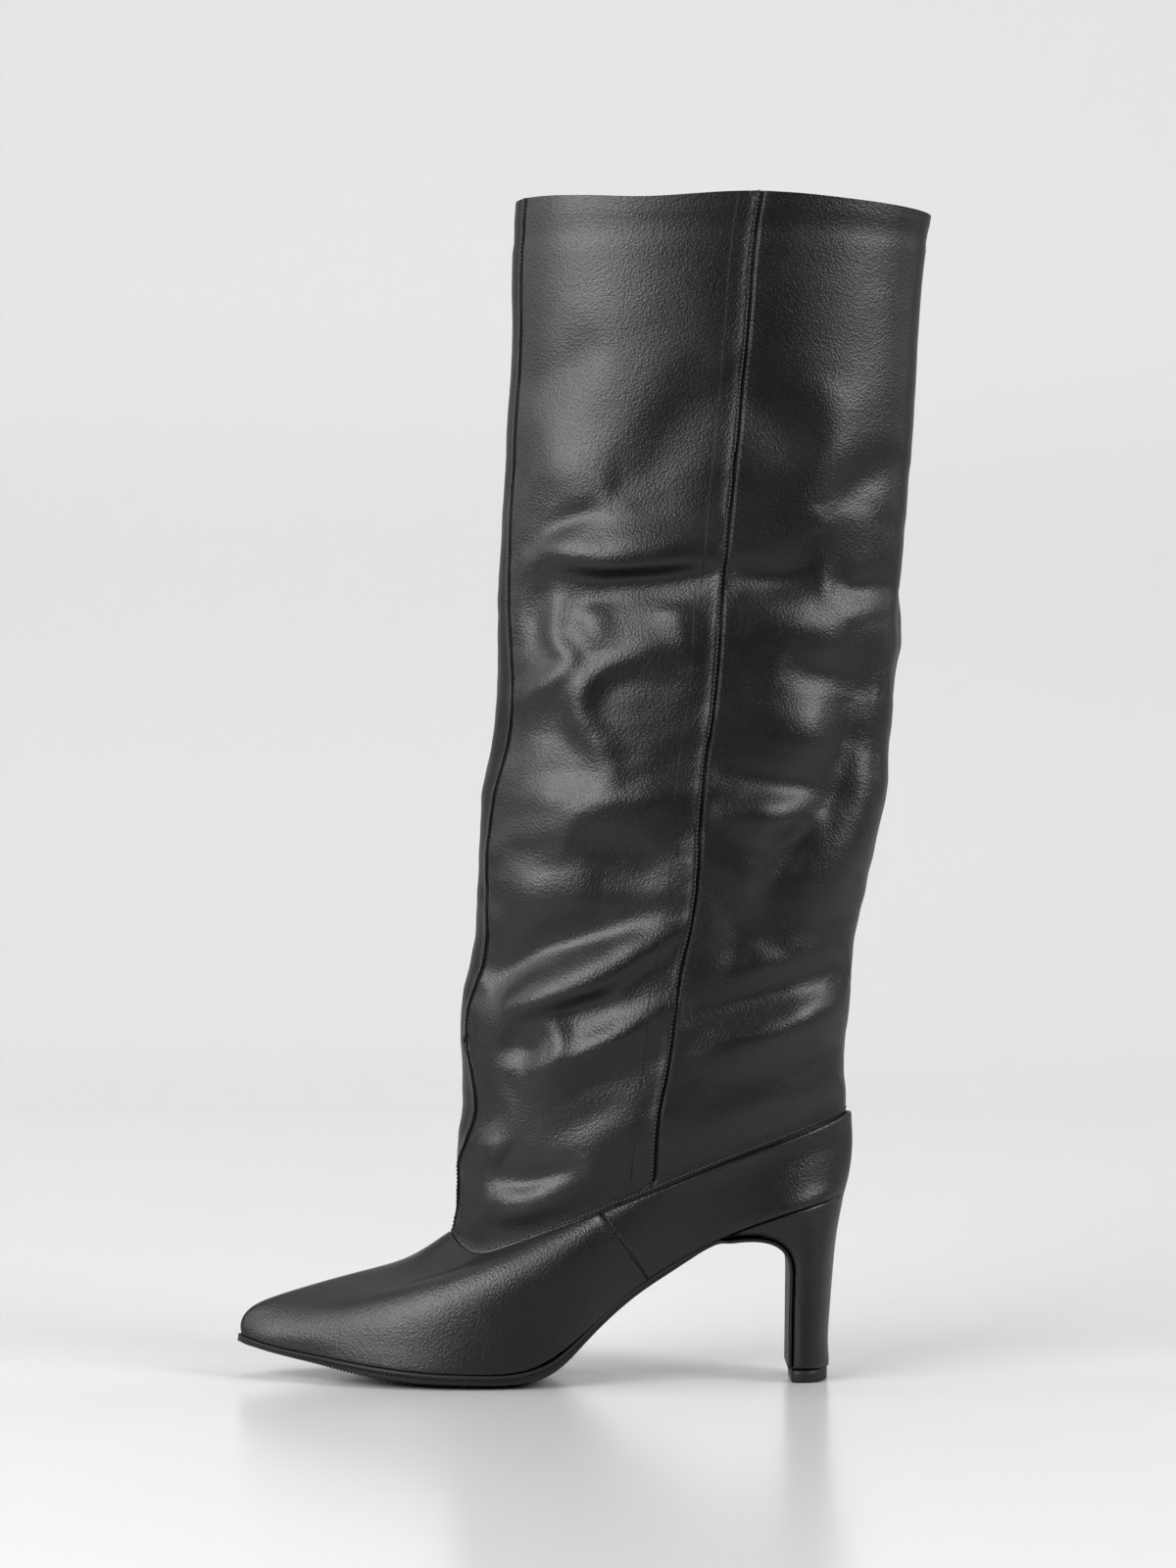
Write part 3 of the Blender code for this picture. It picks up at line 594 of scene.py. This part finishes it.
def rubber_material():
    """Moulded black rubber, with a fine tread where the forepart looks down."""
    material, tree, shader = new_material("rubber")
    colour = colours().rubber
    grain = grained(tree, 1500.0)
    tone = ramp(tree, grain["Clouding"], (0.3, tint(colour, 0.85)), (0.75, tint(colour, 1.35)))
    along = parts_of(tree, object_place(tree))["X"]
    facing = parts_of(tree, tree.nodes.new("ShaderNodeNewGeometry").outputs["Normal"])["Z"]
    turns = math_node(tree, "MULTIPLY", along, 2 * math.pi / sizes().tread_pitch)
    down = math_node(tree, "LESS_THAN", facing, -0.93)
    forepart = math_node(tree, "LESS_THAN", along, -0.105)
    tread = math_node(
        tree, "MULTIPLY", math_node(tree, "SINE", turns), math_node(tree, "MULTIPLY", down, forepart))
    normal = bump(tree, grain["Height"], 0.00012, 0.4)
    tree.links.new(bump(tree, tread, 0.0003, 1.0, normal), shader.inputs["Normal"])
    tree.links.new(tone, shader.inputs["Base Color"])
    shader.inputs["Roughness"].default_value = 0.50
    shader.inputs["Specular IOR Level"].default_value = 0.45
    return material


def thread_material():
    """Waxed black thread with its twist."""
    material, tree, shader = new_material("thread")
    colour = colours().thread
    twist = noise_node(tree, object_place(tree), 4200.0, 2.0)
    tone = ramp(tree, twist, (0.35, tint(colour, 0.7)), (0.7, tint(colour, 1.7)))
    tree.links.new(tone, shader.inputs["Base Color"])
    tree.links.new(bump(tree, twist, 0.0001, 0.6), shader.inputs["Normal"])
    shader.inputs["Roughness"].default_value = 0.55
    return material


def studio_material():
    """Pale floor with a faint gloss, with painted shade that darkens it in front of and under the
    boot and lightens it towards the wall.
    """
    material, tree, shader = new_material("studio")
    colour = colours().studio
    place = object_place(tree)
    cloud = math_node(tree, "MULTIPLY", noise_node(tree, place, 3.0, 2.0), 0.1)
    # painted shade: darkest where Y is at or before the boot, lighter towards the wall
    depth = math_node(tree, "MULTIPLY_ADD", parts_of(tree, place)["Y"], 0.55, cloud)
    tone = ramp(tree, depth, (0.0, tint(colour, 0.80)), (1.0, tint(colour, 1.01)))
    tree.links.new(tone, shader.inputs["Base Color"])
    shader.inputs["Roughness"].default_value = 0.22
    shader.inputs["Specular IOR Level"].default_value = 0.30
    return material


def signed_across(points, normals, line):
    """Distance from a seam, in millimetres: below nothing before it, above nothing behind it."""
    away, index = nearest_on_line(points, line)
    along = np.gradient(line, axis=0)[index]
    side = np.einsum("ij,ij->i", np.cross(along, normals), points - line[index])
    return np.where(side > 0, 1, -1) * away / MM


def plane_across(points, marks):
    """Distance behind a line seen from the side, in millimetres; it is negative in front."""
    flat = points[:, [0, 2]] / MM
    line = smooth_line(marks, 8)
    away, index = nearest_on_line(flat, line)
    run = np.gradient(line, axis=0)[index]
    offset = flat - line[index]
    side = run[:, 1] * offset[:, 0] - run[:, 0] * offset[:, 1]
    return np.where(side > 0, 1, -1) * away


def sorted_seam(points):
    """A seam's points in order from the bottom, drawn as a smooth line."""
    line = points[np.argsort(points[:, 2])]
    return smooth_line(line[line[:, 2] > SEAM_LOWEST], 8)


def surface_of(name):
    """The surface of a piece that is already made, to find places on it."""
    piece = bpy.data.objects.get(name)
    if piece is None:
        raise RuntimeError(f"{name} has to be made first")
    return BVHTree.FromPolygons(
        [v.co for v in piece.data.vertices], [f.vertices for f in piece.data.polygons])


def shape_of(piece):
    """Points and faces of a small piece, put in an order that each run repeats.

    The piece itself is taken away.
    """
    corners = np.array([v.co[:] for v in piece.data.vertices])
    order = np.lexsort(corners.round(5).T)
    place = np.argsort(order)
    faces = []
    for face in piece.data.polygons:
        ring = [int(place[v]) for v in face.vertices]
        first = ring.index(min(ring))
        faces.append((*ring[first:], *ring[:first]))
    bpy.data.objects.remove(piece)
    return corners[order], sorted(faces)


def repeated(name, shape, places):
    """One piece from copies of a shape; a place is its turn, its scale and its middle."""
    corners, faces = shape
    points, polygons = [], []
    for turn, scale, middle in places:
        start = len(points)
        points.extend(tuple(turn @ Vector(c * scale) + middle) for c in corners)
        polygons.extend(tuple(start + v for v in face) for face in faces)
    if not polygons:
        raise RuntimeError(f"no place was found for {name}")
    mesh = bpy.data.meshes.new(name)
    mesh.from_pydata(points, [], polygons)
    mesh.update()
    piece = bpy.data.objects.new(name, mesh)
    bpy.context.scene.collection.objects.link(piece)
    smooth_shading(piece, 50)
    return piece


class BOOT_OT_shaft(bpy.types.Operator):
    """Shaft with its creases, seams, wall and turned hem"""

    bl_idname = "boot.shaft"
    bl_label = "Shaft"

    def execute(self, context):
        piece = node_copy("shaft", "shaft_leather")
        keep_outer_skin(piece)
        seams = self.find_seams(piece)
        self.add_rows(piece)
        levels = sizes().smoothing
        apply_modifier(piece, "SUBSURF", levels=levels, render_levels=levels)
        points, normals = read_points(piece.data)
        above_ankle = points[:, 2] - ankle_edge(points[:, 0])
        below_top = points[:, 2].max() - points[:, 2]
        across = self.seam_distance(points, normals, seams)
        sewn = rise(above_ankle, 0.001, 0.004)
        lift = self.creases(points, normals)
        lift *= rise(above_ankle, 0.002, 0.010) * rise(below_top, 0.006, 0.030)
        lift += sewn * self.seam_relief(points, across)
        lift -= HEM_PULL * bell(below_top - HEM_HEIGHT, HEM_BREADTH)
        write_points(piece.data, points + normals * lift[:, None])
        narrowed = np.where(points[:, 0] < FRONT_BEFORE, FRONT_SEAM_NARROWER, 1.0)
        store(piece.data, "seam_across", across * narrowed + NO_SEAM * (1 - sewn))
        apply_modifier(piece, "SOLIDIFY", thickness=sizes().shaft_wall, offset=-1,
                       material_offset=1, material_offset_rim=0)
        smooth_shading(piece, 55)
        finish_piece(piece, "shaft", [
            leather_material("shaft leather", 0.41, seams=True), lining_material()])
        for name, line in seams.items():
            context.scene[f"seam_{name}"] = [float(c) for c in line.ravel()]
        return {"FINISHED"}

    def find_seams(self, piece):
        """The front, outer and inner seam, each as a smooth line from the bottom up."""
        marks = seam_points(piece, *SEAM_COLUMN)
        if len(marks) == 0:
            raise RuntimeError("the frame's shaft has no narrow columns that mark its seams")
        front = marks[:, 0] < FRONT_BEFORE
        found = {
            "front": marks[front & (np.abs(marks[:, 1]) < 0.034)],
            "outer": marks[~front & (marks[:, 1] < 0)],
            "inner": marks[~front & (marks[:, 1] > 0)],
        }
        for name, points in found.items():
            if len(points) < 10:
                raise RuntimeError(f"the shaft's {name} seam wasn't found in the frame")
        return {name: sorted_seam(points) for name, points in found.items()}

    def add_rows(self, piece):
        """Halves the faces where the shaft is slack, so that its creases are crisp."""
        bm = bmesh.new()
        bm.from_mesh(piece.data)
        steep = []
        for edge in bm.edges:
            run = edge.verts[1].co - edge.verts[0].co
            middle = (edge.verts[0].co + edge.verts[1].co) / 2
            if abs(run.z) > 0.85 * run.length and SLACK_FROM < middle.z < SLACK_TO:
                steep.append(edge)
        bmesh.ops.subdivide_edges(bm, edges=steep, cuts=1, use_grid_fill=True)
        bm.to_mesh(piece.data)
        bm.free()

    def creases(self, points, normals):
        """Height of the folds and of the leather's gentle unevenness."""
        outer = rise(-normals[:, 1], -0.2, 0.4)
        outer = outer * outer * (3 - 2 * outer)
        lift = fold_field(points, OUTER_FOLDS) * outer
        lift += fold_field(points, INNER_FOLDS) * (1 - outer)
        lift *= sizes().slack
        uneven = np.maximum(rise(-points[:, 2], -0.43, 0.12), 0.25)
        stretched = points * (1.0, 1.0, 1.7)
        lift += 0.0009 * uneven * soft_noise(stretched, 0.034, 3)
        lift += 0.00035 * uneven * soft_noise(stretched, 0.013, 9)
        return lift

    def seam_distance(self, points, normals, seams):
        """Distance behind the nearest seam's groove, in millimetres."""
        across = np.full(len(points), NO_SEAM)
        for name, line in seams.items():
            turned = -1 if name == "inner" else 1
            here = turned * signed_across(points, normals, line)
            across = np.where(np.abs(here) < np.abs(across), here, across)
        return across - GROOVE_BEHIND

    def seam_relief(self, points, across):
        """The stitched groove, shallower at the front, with a low lip before it."""
        groove = sizes().groove * bell(across, 0.7)
        groove *= np.where(points[:, 0] < FRONT_BEFORE, 0.35, 1.0)
        return 0.0002 * bell(across + 2.0, 1.2) - groove


class BOOT_OT_foot(bpy.types.Operator):
    """Vamp and counter, with their seam and their edge round the ankle"""

    bl_idname = "boot.foot"
    bl_label = "Foot"

    def execute(self, context):
        piece = node_copy("upper", "foot_leather")
        keep_outer_skin(piece)
        self.calm_sides(piece)
        levels = sizes().smoothing
        apply_modifier(piece, "SUBSURF", levels=levels, render_levels=levels)
        rim = self.ankle_rim(piece)
        context.scene["ankle_rim"] = [float(c) for c in rim.ravel()]
        points, normals = read_points(piece.data)
        across = plane_across(points, VAMP_SEAM)
        to_rim, _ = nearest_on_line(points, rim)
        uneven = 0.0003 * soft_noise(points, 0.03, 5)
        step = 0.0005 * bell(across + 1.0, 1.2)
        groove = 0.0007 * bell(across, 0.55)
        edge = 0.0004 * bell(to_rim, 0.0012)
        write_points(piece.data, points + normals * (uneven + step + edge - groove)[:, None])
        store(piece.data, "seam_across", across * VAMP_SEAM_NARROWER)
        apply_modifier(piece, "SOLIDIFY", thickness=sizes().foot_wall, offset=-1,
                       material_offset=1, material_offset_rim=0)
        apply_modifier(piece, "BEVEL", width=0.00035, segments=2, limit_method="ANGLE",
                       angle_limit=math.radians(60))
        smooth_shading(piece, 60)
        finish_piece(piece, "upper", [
            leather_material("foot leather", 0.40, seams=True), lining_material()])
        return {"FINISHED"}

    def calm_sides(self, piece):
        """Evens out the long swells of the vamp's sides, clear of its edges and its top."""
        points, normals = read_points(piece.data)
        bm = bmesh.new()
        bm.from_mesh(piece.data)
        border = np.array([v.co[:] for v in bm.verts if v.is_boundary])
        bm.free()
        if len(border) == 0:
            raise RuntimeError("the foot's skin has no open edge")
        clear, _ = nearest_on_line(points, border)
        weight = rise(np.abs(normals[:, 1]), 0.3, 0.4) * rise(clear, 0.0024, 0.006)
        group = piece.vertex_groups.new(name="calm")
        for index, share in enumerate(weight):
            group.add([index], float(share), "REPLACE")
        apply_modifier(piece, "SMOOTH", factor=0.5, iterations=CALM_PASSES, vertex_group="calm")

    def ankle_rim(self, piece):
        """The open edge round the ankle, in order round the boot."""
        bm = bmesh.new()
        bm.from_mesh(piece.data)
        border = {v for e in bm.edges if e.is_boundary for v in e.verts}
        rim = [v.co.copy() for v in border
               if v.co.z > ankle_edge(v.co.x) - 0.006 and v.co.x > -0.15]
        bm.free()
        if len(rim) < 20:
            raise RuntimeError("the foot's edge round the ankle wasn't found")
        middle = Vector((-0.0635, 0.0, 0.0))
        rim.sort(key=lambda p: math.atan2((p - middle).y * 2.4, (p - middle).x))
        return np.array([point[:] for point in rim])


def rounded_copy(node, name, hard_edge, levels):
    """A copy of a solid with its long faces smoothed and its hard edges kept."""
    piece = node_copy(node, name)
    bm = bmesh.new()
    bm.from_mesh(piece.data)
    crease = bm.edges.layers.float.new("crease_edge")
    for edge in bm.edges:
        if len(edge.link_faces) == 2 and edge.calc_face_angle() > math.radians(hard_edge):
            edge[crease] = 0.86
    bm.to_mesh(piece.data)
    bm.free()
    apply_modifier(piece, "SUBSURF", levels=levels, render_levels=levels)
    smooth_shading(piece, 40)
    return piece


class BOOT_OT_sole(bpy.types.Operator):
    """Outsole with its tread ribs, heel, top piece and insole"""

    bl_idname = "boot.sole"
    bl_label = "Sole and heel"

    def execute(self, context):
        rubber = rubber_material()
        cover = leather_material("heel leather", 0.40, seams=False)
        for node, name, hard_edge, levels, material in (
            ("outsole", "sole_rubber", 30, 2, rubber),
            ("top_piece", "top_piece_rubber", 30, 2, rubber),
            ("heel", "heel_cover", 35, 2, cover),
            ("insole", "insole_sock", 35, 1, lining_material()),
        ):
            finish_piece(rounded_copy(node, name, hard_edge, levels), node, [material])
        finish_piece(self.tread_ribs(), "outsole", [rubber], replaced=False)
        return {"FINISHED"}

    def tread_ribs(self):
        """Fine ribs under the edge of the forepart, on both sides."""
        sole = surface_of("sole_rubber")
        bpy.ops.object.select_all(action="DESELECT")
        bpy.ops.mesh.primitive_cube_add(size=1.0)
        rib = bpy.context.object
        apply_modifier(rib, "BEVEL", width=0.18, segments=2)
        pitch = sizes().tread_pitch
        places = []
        for side in (-1, 1):
            for i in range(int(TREAD_LENGTH / pitch)):
                ends = self.under_edge(sole, TREAD_START + i * pitch, side)
                if ends is None:
                    continue
                outer, inner = ends
                along = (inner - outer).normalized()
                across = Vector((0, 0, 1)).cross(along).normalized()
                turn = Matrix((across, along, across.cross(along))).transposed()
                scale = np.array((pitch * 0.55, (inner - outer).length, sizes().tread_depth * 2))
                places.append((turn, scale, (outer + inner) / 2))
        return repeated("tread_ribs", shape_of(rib), places)

    def under_edge(self, sole, x, side):
        """Where a rib starts and ends on the underside, or None where it would meet the floor."""
        found = []
        for y in np.arange(SOLE_HALF_BREADTH, 0.0, -0.0005):
            hit = sole.ray_cast(Vector((x, side * y, -0.02)), Vector((0, 0, 1)))[0]
            if hit is None:
                continue
            if hit.z < sizes().tread_depth + 0.0002:
                break
            found.append(hit)
            if (found[0] - found[-1]).length > RIB_LENGTH:
                break
        if len(found) < 3:
            return None
        return found[0], found[-1]


class BOOT_OT_stitches(bpy.types.Operator):
    """Thread in the long seams and round the ankle"""

    bl_idname = "boot.stitches"
    bl_label = "Stitches"

    def execute(self, context):
        shaft = surface_of("shaft_leather")
        pitch = sizes().stitch_pitch
        scale = np.array((sizes().thread, pitch * 0.40, sizes().thread))
        places = []
        for row in self.stitch_rows(context.scene, pitch):
            for mark, run in zip(row, np.gradient(row, axis=0)):
                spot, normal = shaft.find_nearest(Vector(mark))[:2]
                along = Vector(run).normalized()
                side = along.cross(normal).normalized()
                turn = Matrix((side, along, side.cross(along))).transposed()
                places.append((turn, scale, spot + normal * THREAD_PROUD))
        piece = repeated("stitches", self.one_stitch(), places)
        finish_piece(piece, "shaft", [thread_material()], replaced=False)
        return {"FINISHED"}

    def stitch_rows(self, scene, pitch):
        """Places of the stitches, row by row: the three long seams and the ankle's edge."""
        if "ankle_rim" not in scene:
            raise RuntimeError("foot_leather has to be made first")
        for name in ("seam_front", "seam_outer", "seam_inner"):
            line = np.array(scene[name]).reshape(-1, 3)
            yield even_points(line[line[:, 2] > ankle_edge(line[:, 0]) + 0.003], pitch)
        rim = np.array(scene["ankle_rim"]).reshape(-1, 3)
        yield even_points(np.vstack([rim, rim[:1]]) + (0.0, 0.0, ANKLE_ROW_ABOVE), pitch)

    def one_stitch(self):
        """Points and faces of a stitch one unit long each way from its middle."""
        bpy.ops.object.select_all(action="DESELECT")
        bpy.ops.mesh.primitive_uv_sphere_add(segments=8, ring_count=5, radius=1.0)
        corners, faces = shape_of(bpy.context.object)
        return corners[:, [0, 2, 1]], [tuple(reversed(face)) for face in faces]


class BOOT_OT_stage(bpy.types.Operator):
    """Floor, backdrop, lights and camera"""

    bl_idname = "boot.stage"
    bl_label = "Stage"

    def execute(self, context):
        self.add_backdrop(context)
        self.add_lights(context)
        self.add_camera(context)
        return {"FINISHED"}

    def add_backdrop(self, context):
        """A floor that curves up into a wall behind the boot."""
        breadth, depth, behind, height, curve = 5.0, 3.6, 1.2, 6.0, 1.6
        bpy.ops.object.select_all(action="DESELECT")
        bpy.ops.mesh.primitive_plane_add(size=1.0)
        floor = context.object
        floor.name = "studio_floor"
        floor.data.transform(Matrix.Diagonal((breadth, depth, 1.0, 1.0)))
        floor.data.transform(Matrix.Translation((0.0, behind, 0.0)))
        bpy.ops.object.mode_set(mode="EDIT")
        bpy.ops.mesh.select_mode(type="EDGE")
        bpy.ops.mesh.select_all(action="DESELECT")
        bm = bmesh.from_edit_mesh(floor.data)
        for edge in bm.edges:
            edge.select = all(v.co.y > behind + 0.4 * depth for v in edge.verts)
        if not any(edge.select for edge in bm.edges):
            raise RuntimeError("the floor's far edge wasn't found")
        bmesh.update_edit_mesh(floor.data)
        bpy.ops.mesh.extrude_region_move(TRANSFORM_OT_translate={"value": (0, 0, height)})
        bpy.ops.object.mode_set(mode="OBJECT")
        apply_modifier(floor, "BEVEL", width=curve, segments=16, limit_method="ANGLE")
        smooth_shading(floor, 60)
        floor.data.materials.append(studio_material())

    def add_lights(self, context):
        """Soft lights over the boot, on the wall and on both sides of the camera."""
        lights = (
            # name, place, aim, breadth, height, power
            ("top", (0.0, 0.8, 3.0), (0.0, 0.6, 0.0), 4.0, 3.0, 56.0),
            ("wall left", (-2.6, 0.4, 1.5), (0.6, 3.0, 1.0), 1.2, 2.2, 32.0),
            ("wall right", (2.7, 0.9, 1.5), (-0.4, 3.0, 1.0), 1.2, 2.2, 26.0),
            ("key", (-1.30, -1.20, 1.00), (-0.09, 0.0, 0.30), 1.5, 1.2, 50.0),
            ("right", (1.50, -0.85, 1.10), (0.0, 0.0, 0.34), 0.9, 1.0, 30.0),
        )
        for name, place, aim, breadth, height, power in lights:
            light = bpy.data.lights.new(name, "AREA")
            light.shape = "RECTANGLE"
            light.size, light.size_y = breadth, height
            light.energy = power
            lamp = bpy.data.objects.new(name, light)
            context.scene.collection.objects.link(lamp)
            lamp.location = place
            lamp.rotation_euler = (Vector(aim) - Vector(place)).to_track_quat("-Z", "Y").to_euler()
        world = bpy.data.worlds.new("studio")
        world.use_nodes = True
        world.node_tree.nodes["Background"].inputs["Color"].default_value = (1.0, 1.0, 1.0, 1.0)
        world.node_tree.nodes["Background"].inputs["Strength"].default_value = 0.04
        context.scene.world = world
        context.scene.view_settings.view_transform = "Standard"
        context.scene.view_settings.gamma = 0.86

    def add_camera(self, context):
        """Level, square to the boot's outer side, as far off as the photograph was taken."""
        distance, picture_height, long_side = 1.7, 0.640, 36.0
        camera = bpy.data.cameras.new("camera")
        camera.sensor_width = long_side
        camera.lens = long_side * distance / picture_height
        viewer = bpy.data.objects.new("camera", camera)
        context.scene.collection.objects.link(viewer)
        viewer.location = (-0.0889, -distance, 0.2421)
        viewer.rotation_euler = (math.radians(90), 0.0, 0.0)
        context.scene.camera = viewer


class BOOT_PT_panel(bpy.types.Panel):
    """The boot's sizes, colours and pieces"""

    bl_idname = "BOOT_PT_panel"
    bl_label = "Boot"
    bl_space_type = "VIEW_3D"
    bl_region_type = "UI"
    bl_category = "Boot"

    def draw(self, context):
        for group in (context.scene.boot_sizes, context.scene.boot_colours):
            for name in group.__annotations__:
                self.layout.prop(group, name)
        for operator in OPERATORS:
            self.layout.operator(operator.bl_idname)


OPERATORS = (BOOT_OT_shaft, BOOT_OT_foot, BOOT_OT_sole, BOOT_OT_stitches, BOOT_OT_stage)
CLASSES = (BootSizes, BootColours, *OPERATORS, BOOT_PT_panel)


def register():
    for cls in CLASSES:
        bpy.utils.register_class(cls)
    bpy.types.Scene.boot_sizes = PointerProperty(type=BootSizes)
    bpy.types.Scene.boot_colours = PointerProperty(type=BootColours)


def unregister():
    del bpy.types.Scene.boot_colours
    del bpy.types.Scene.boot_sizes
    for cls in reversed(CLASSES):
        bpy.utils.unregister_class(cls)


def main():
    """Makes the boot and its stage."""
    register()
    grain_group()
    seam_group()
    bpy.ops.boot.shaft()
    bpy.ops.boot.foot()
    bpy.ops.boot.sole()
    bpy.ops.boot.stitches()
    bpy.ops.boot.stage()


if __name__ == "__main__":
    main()
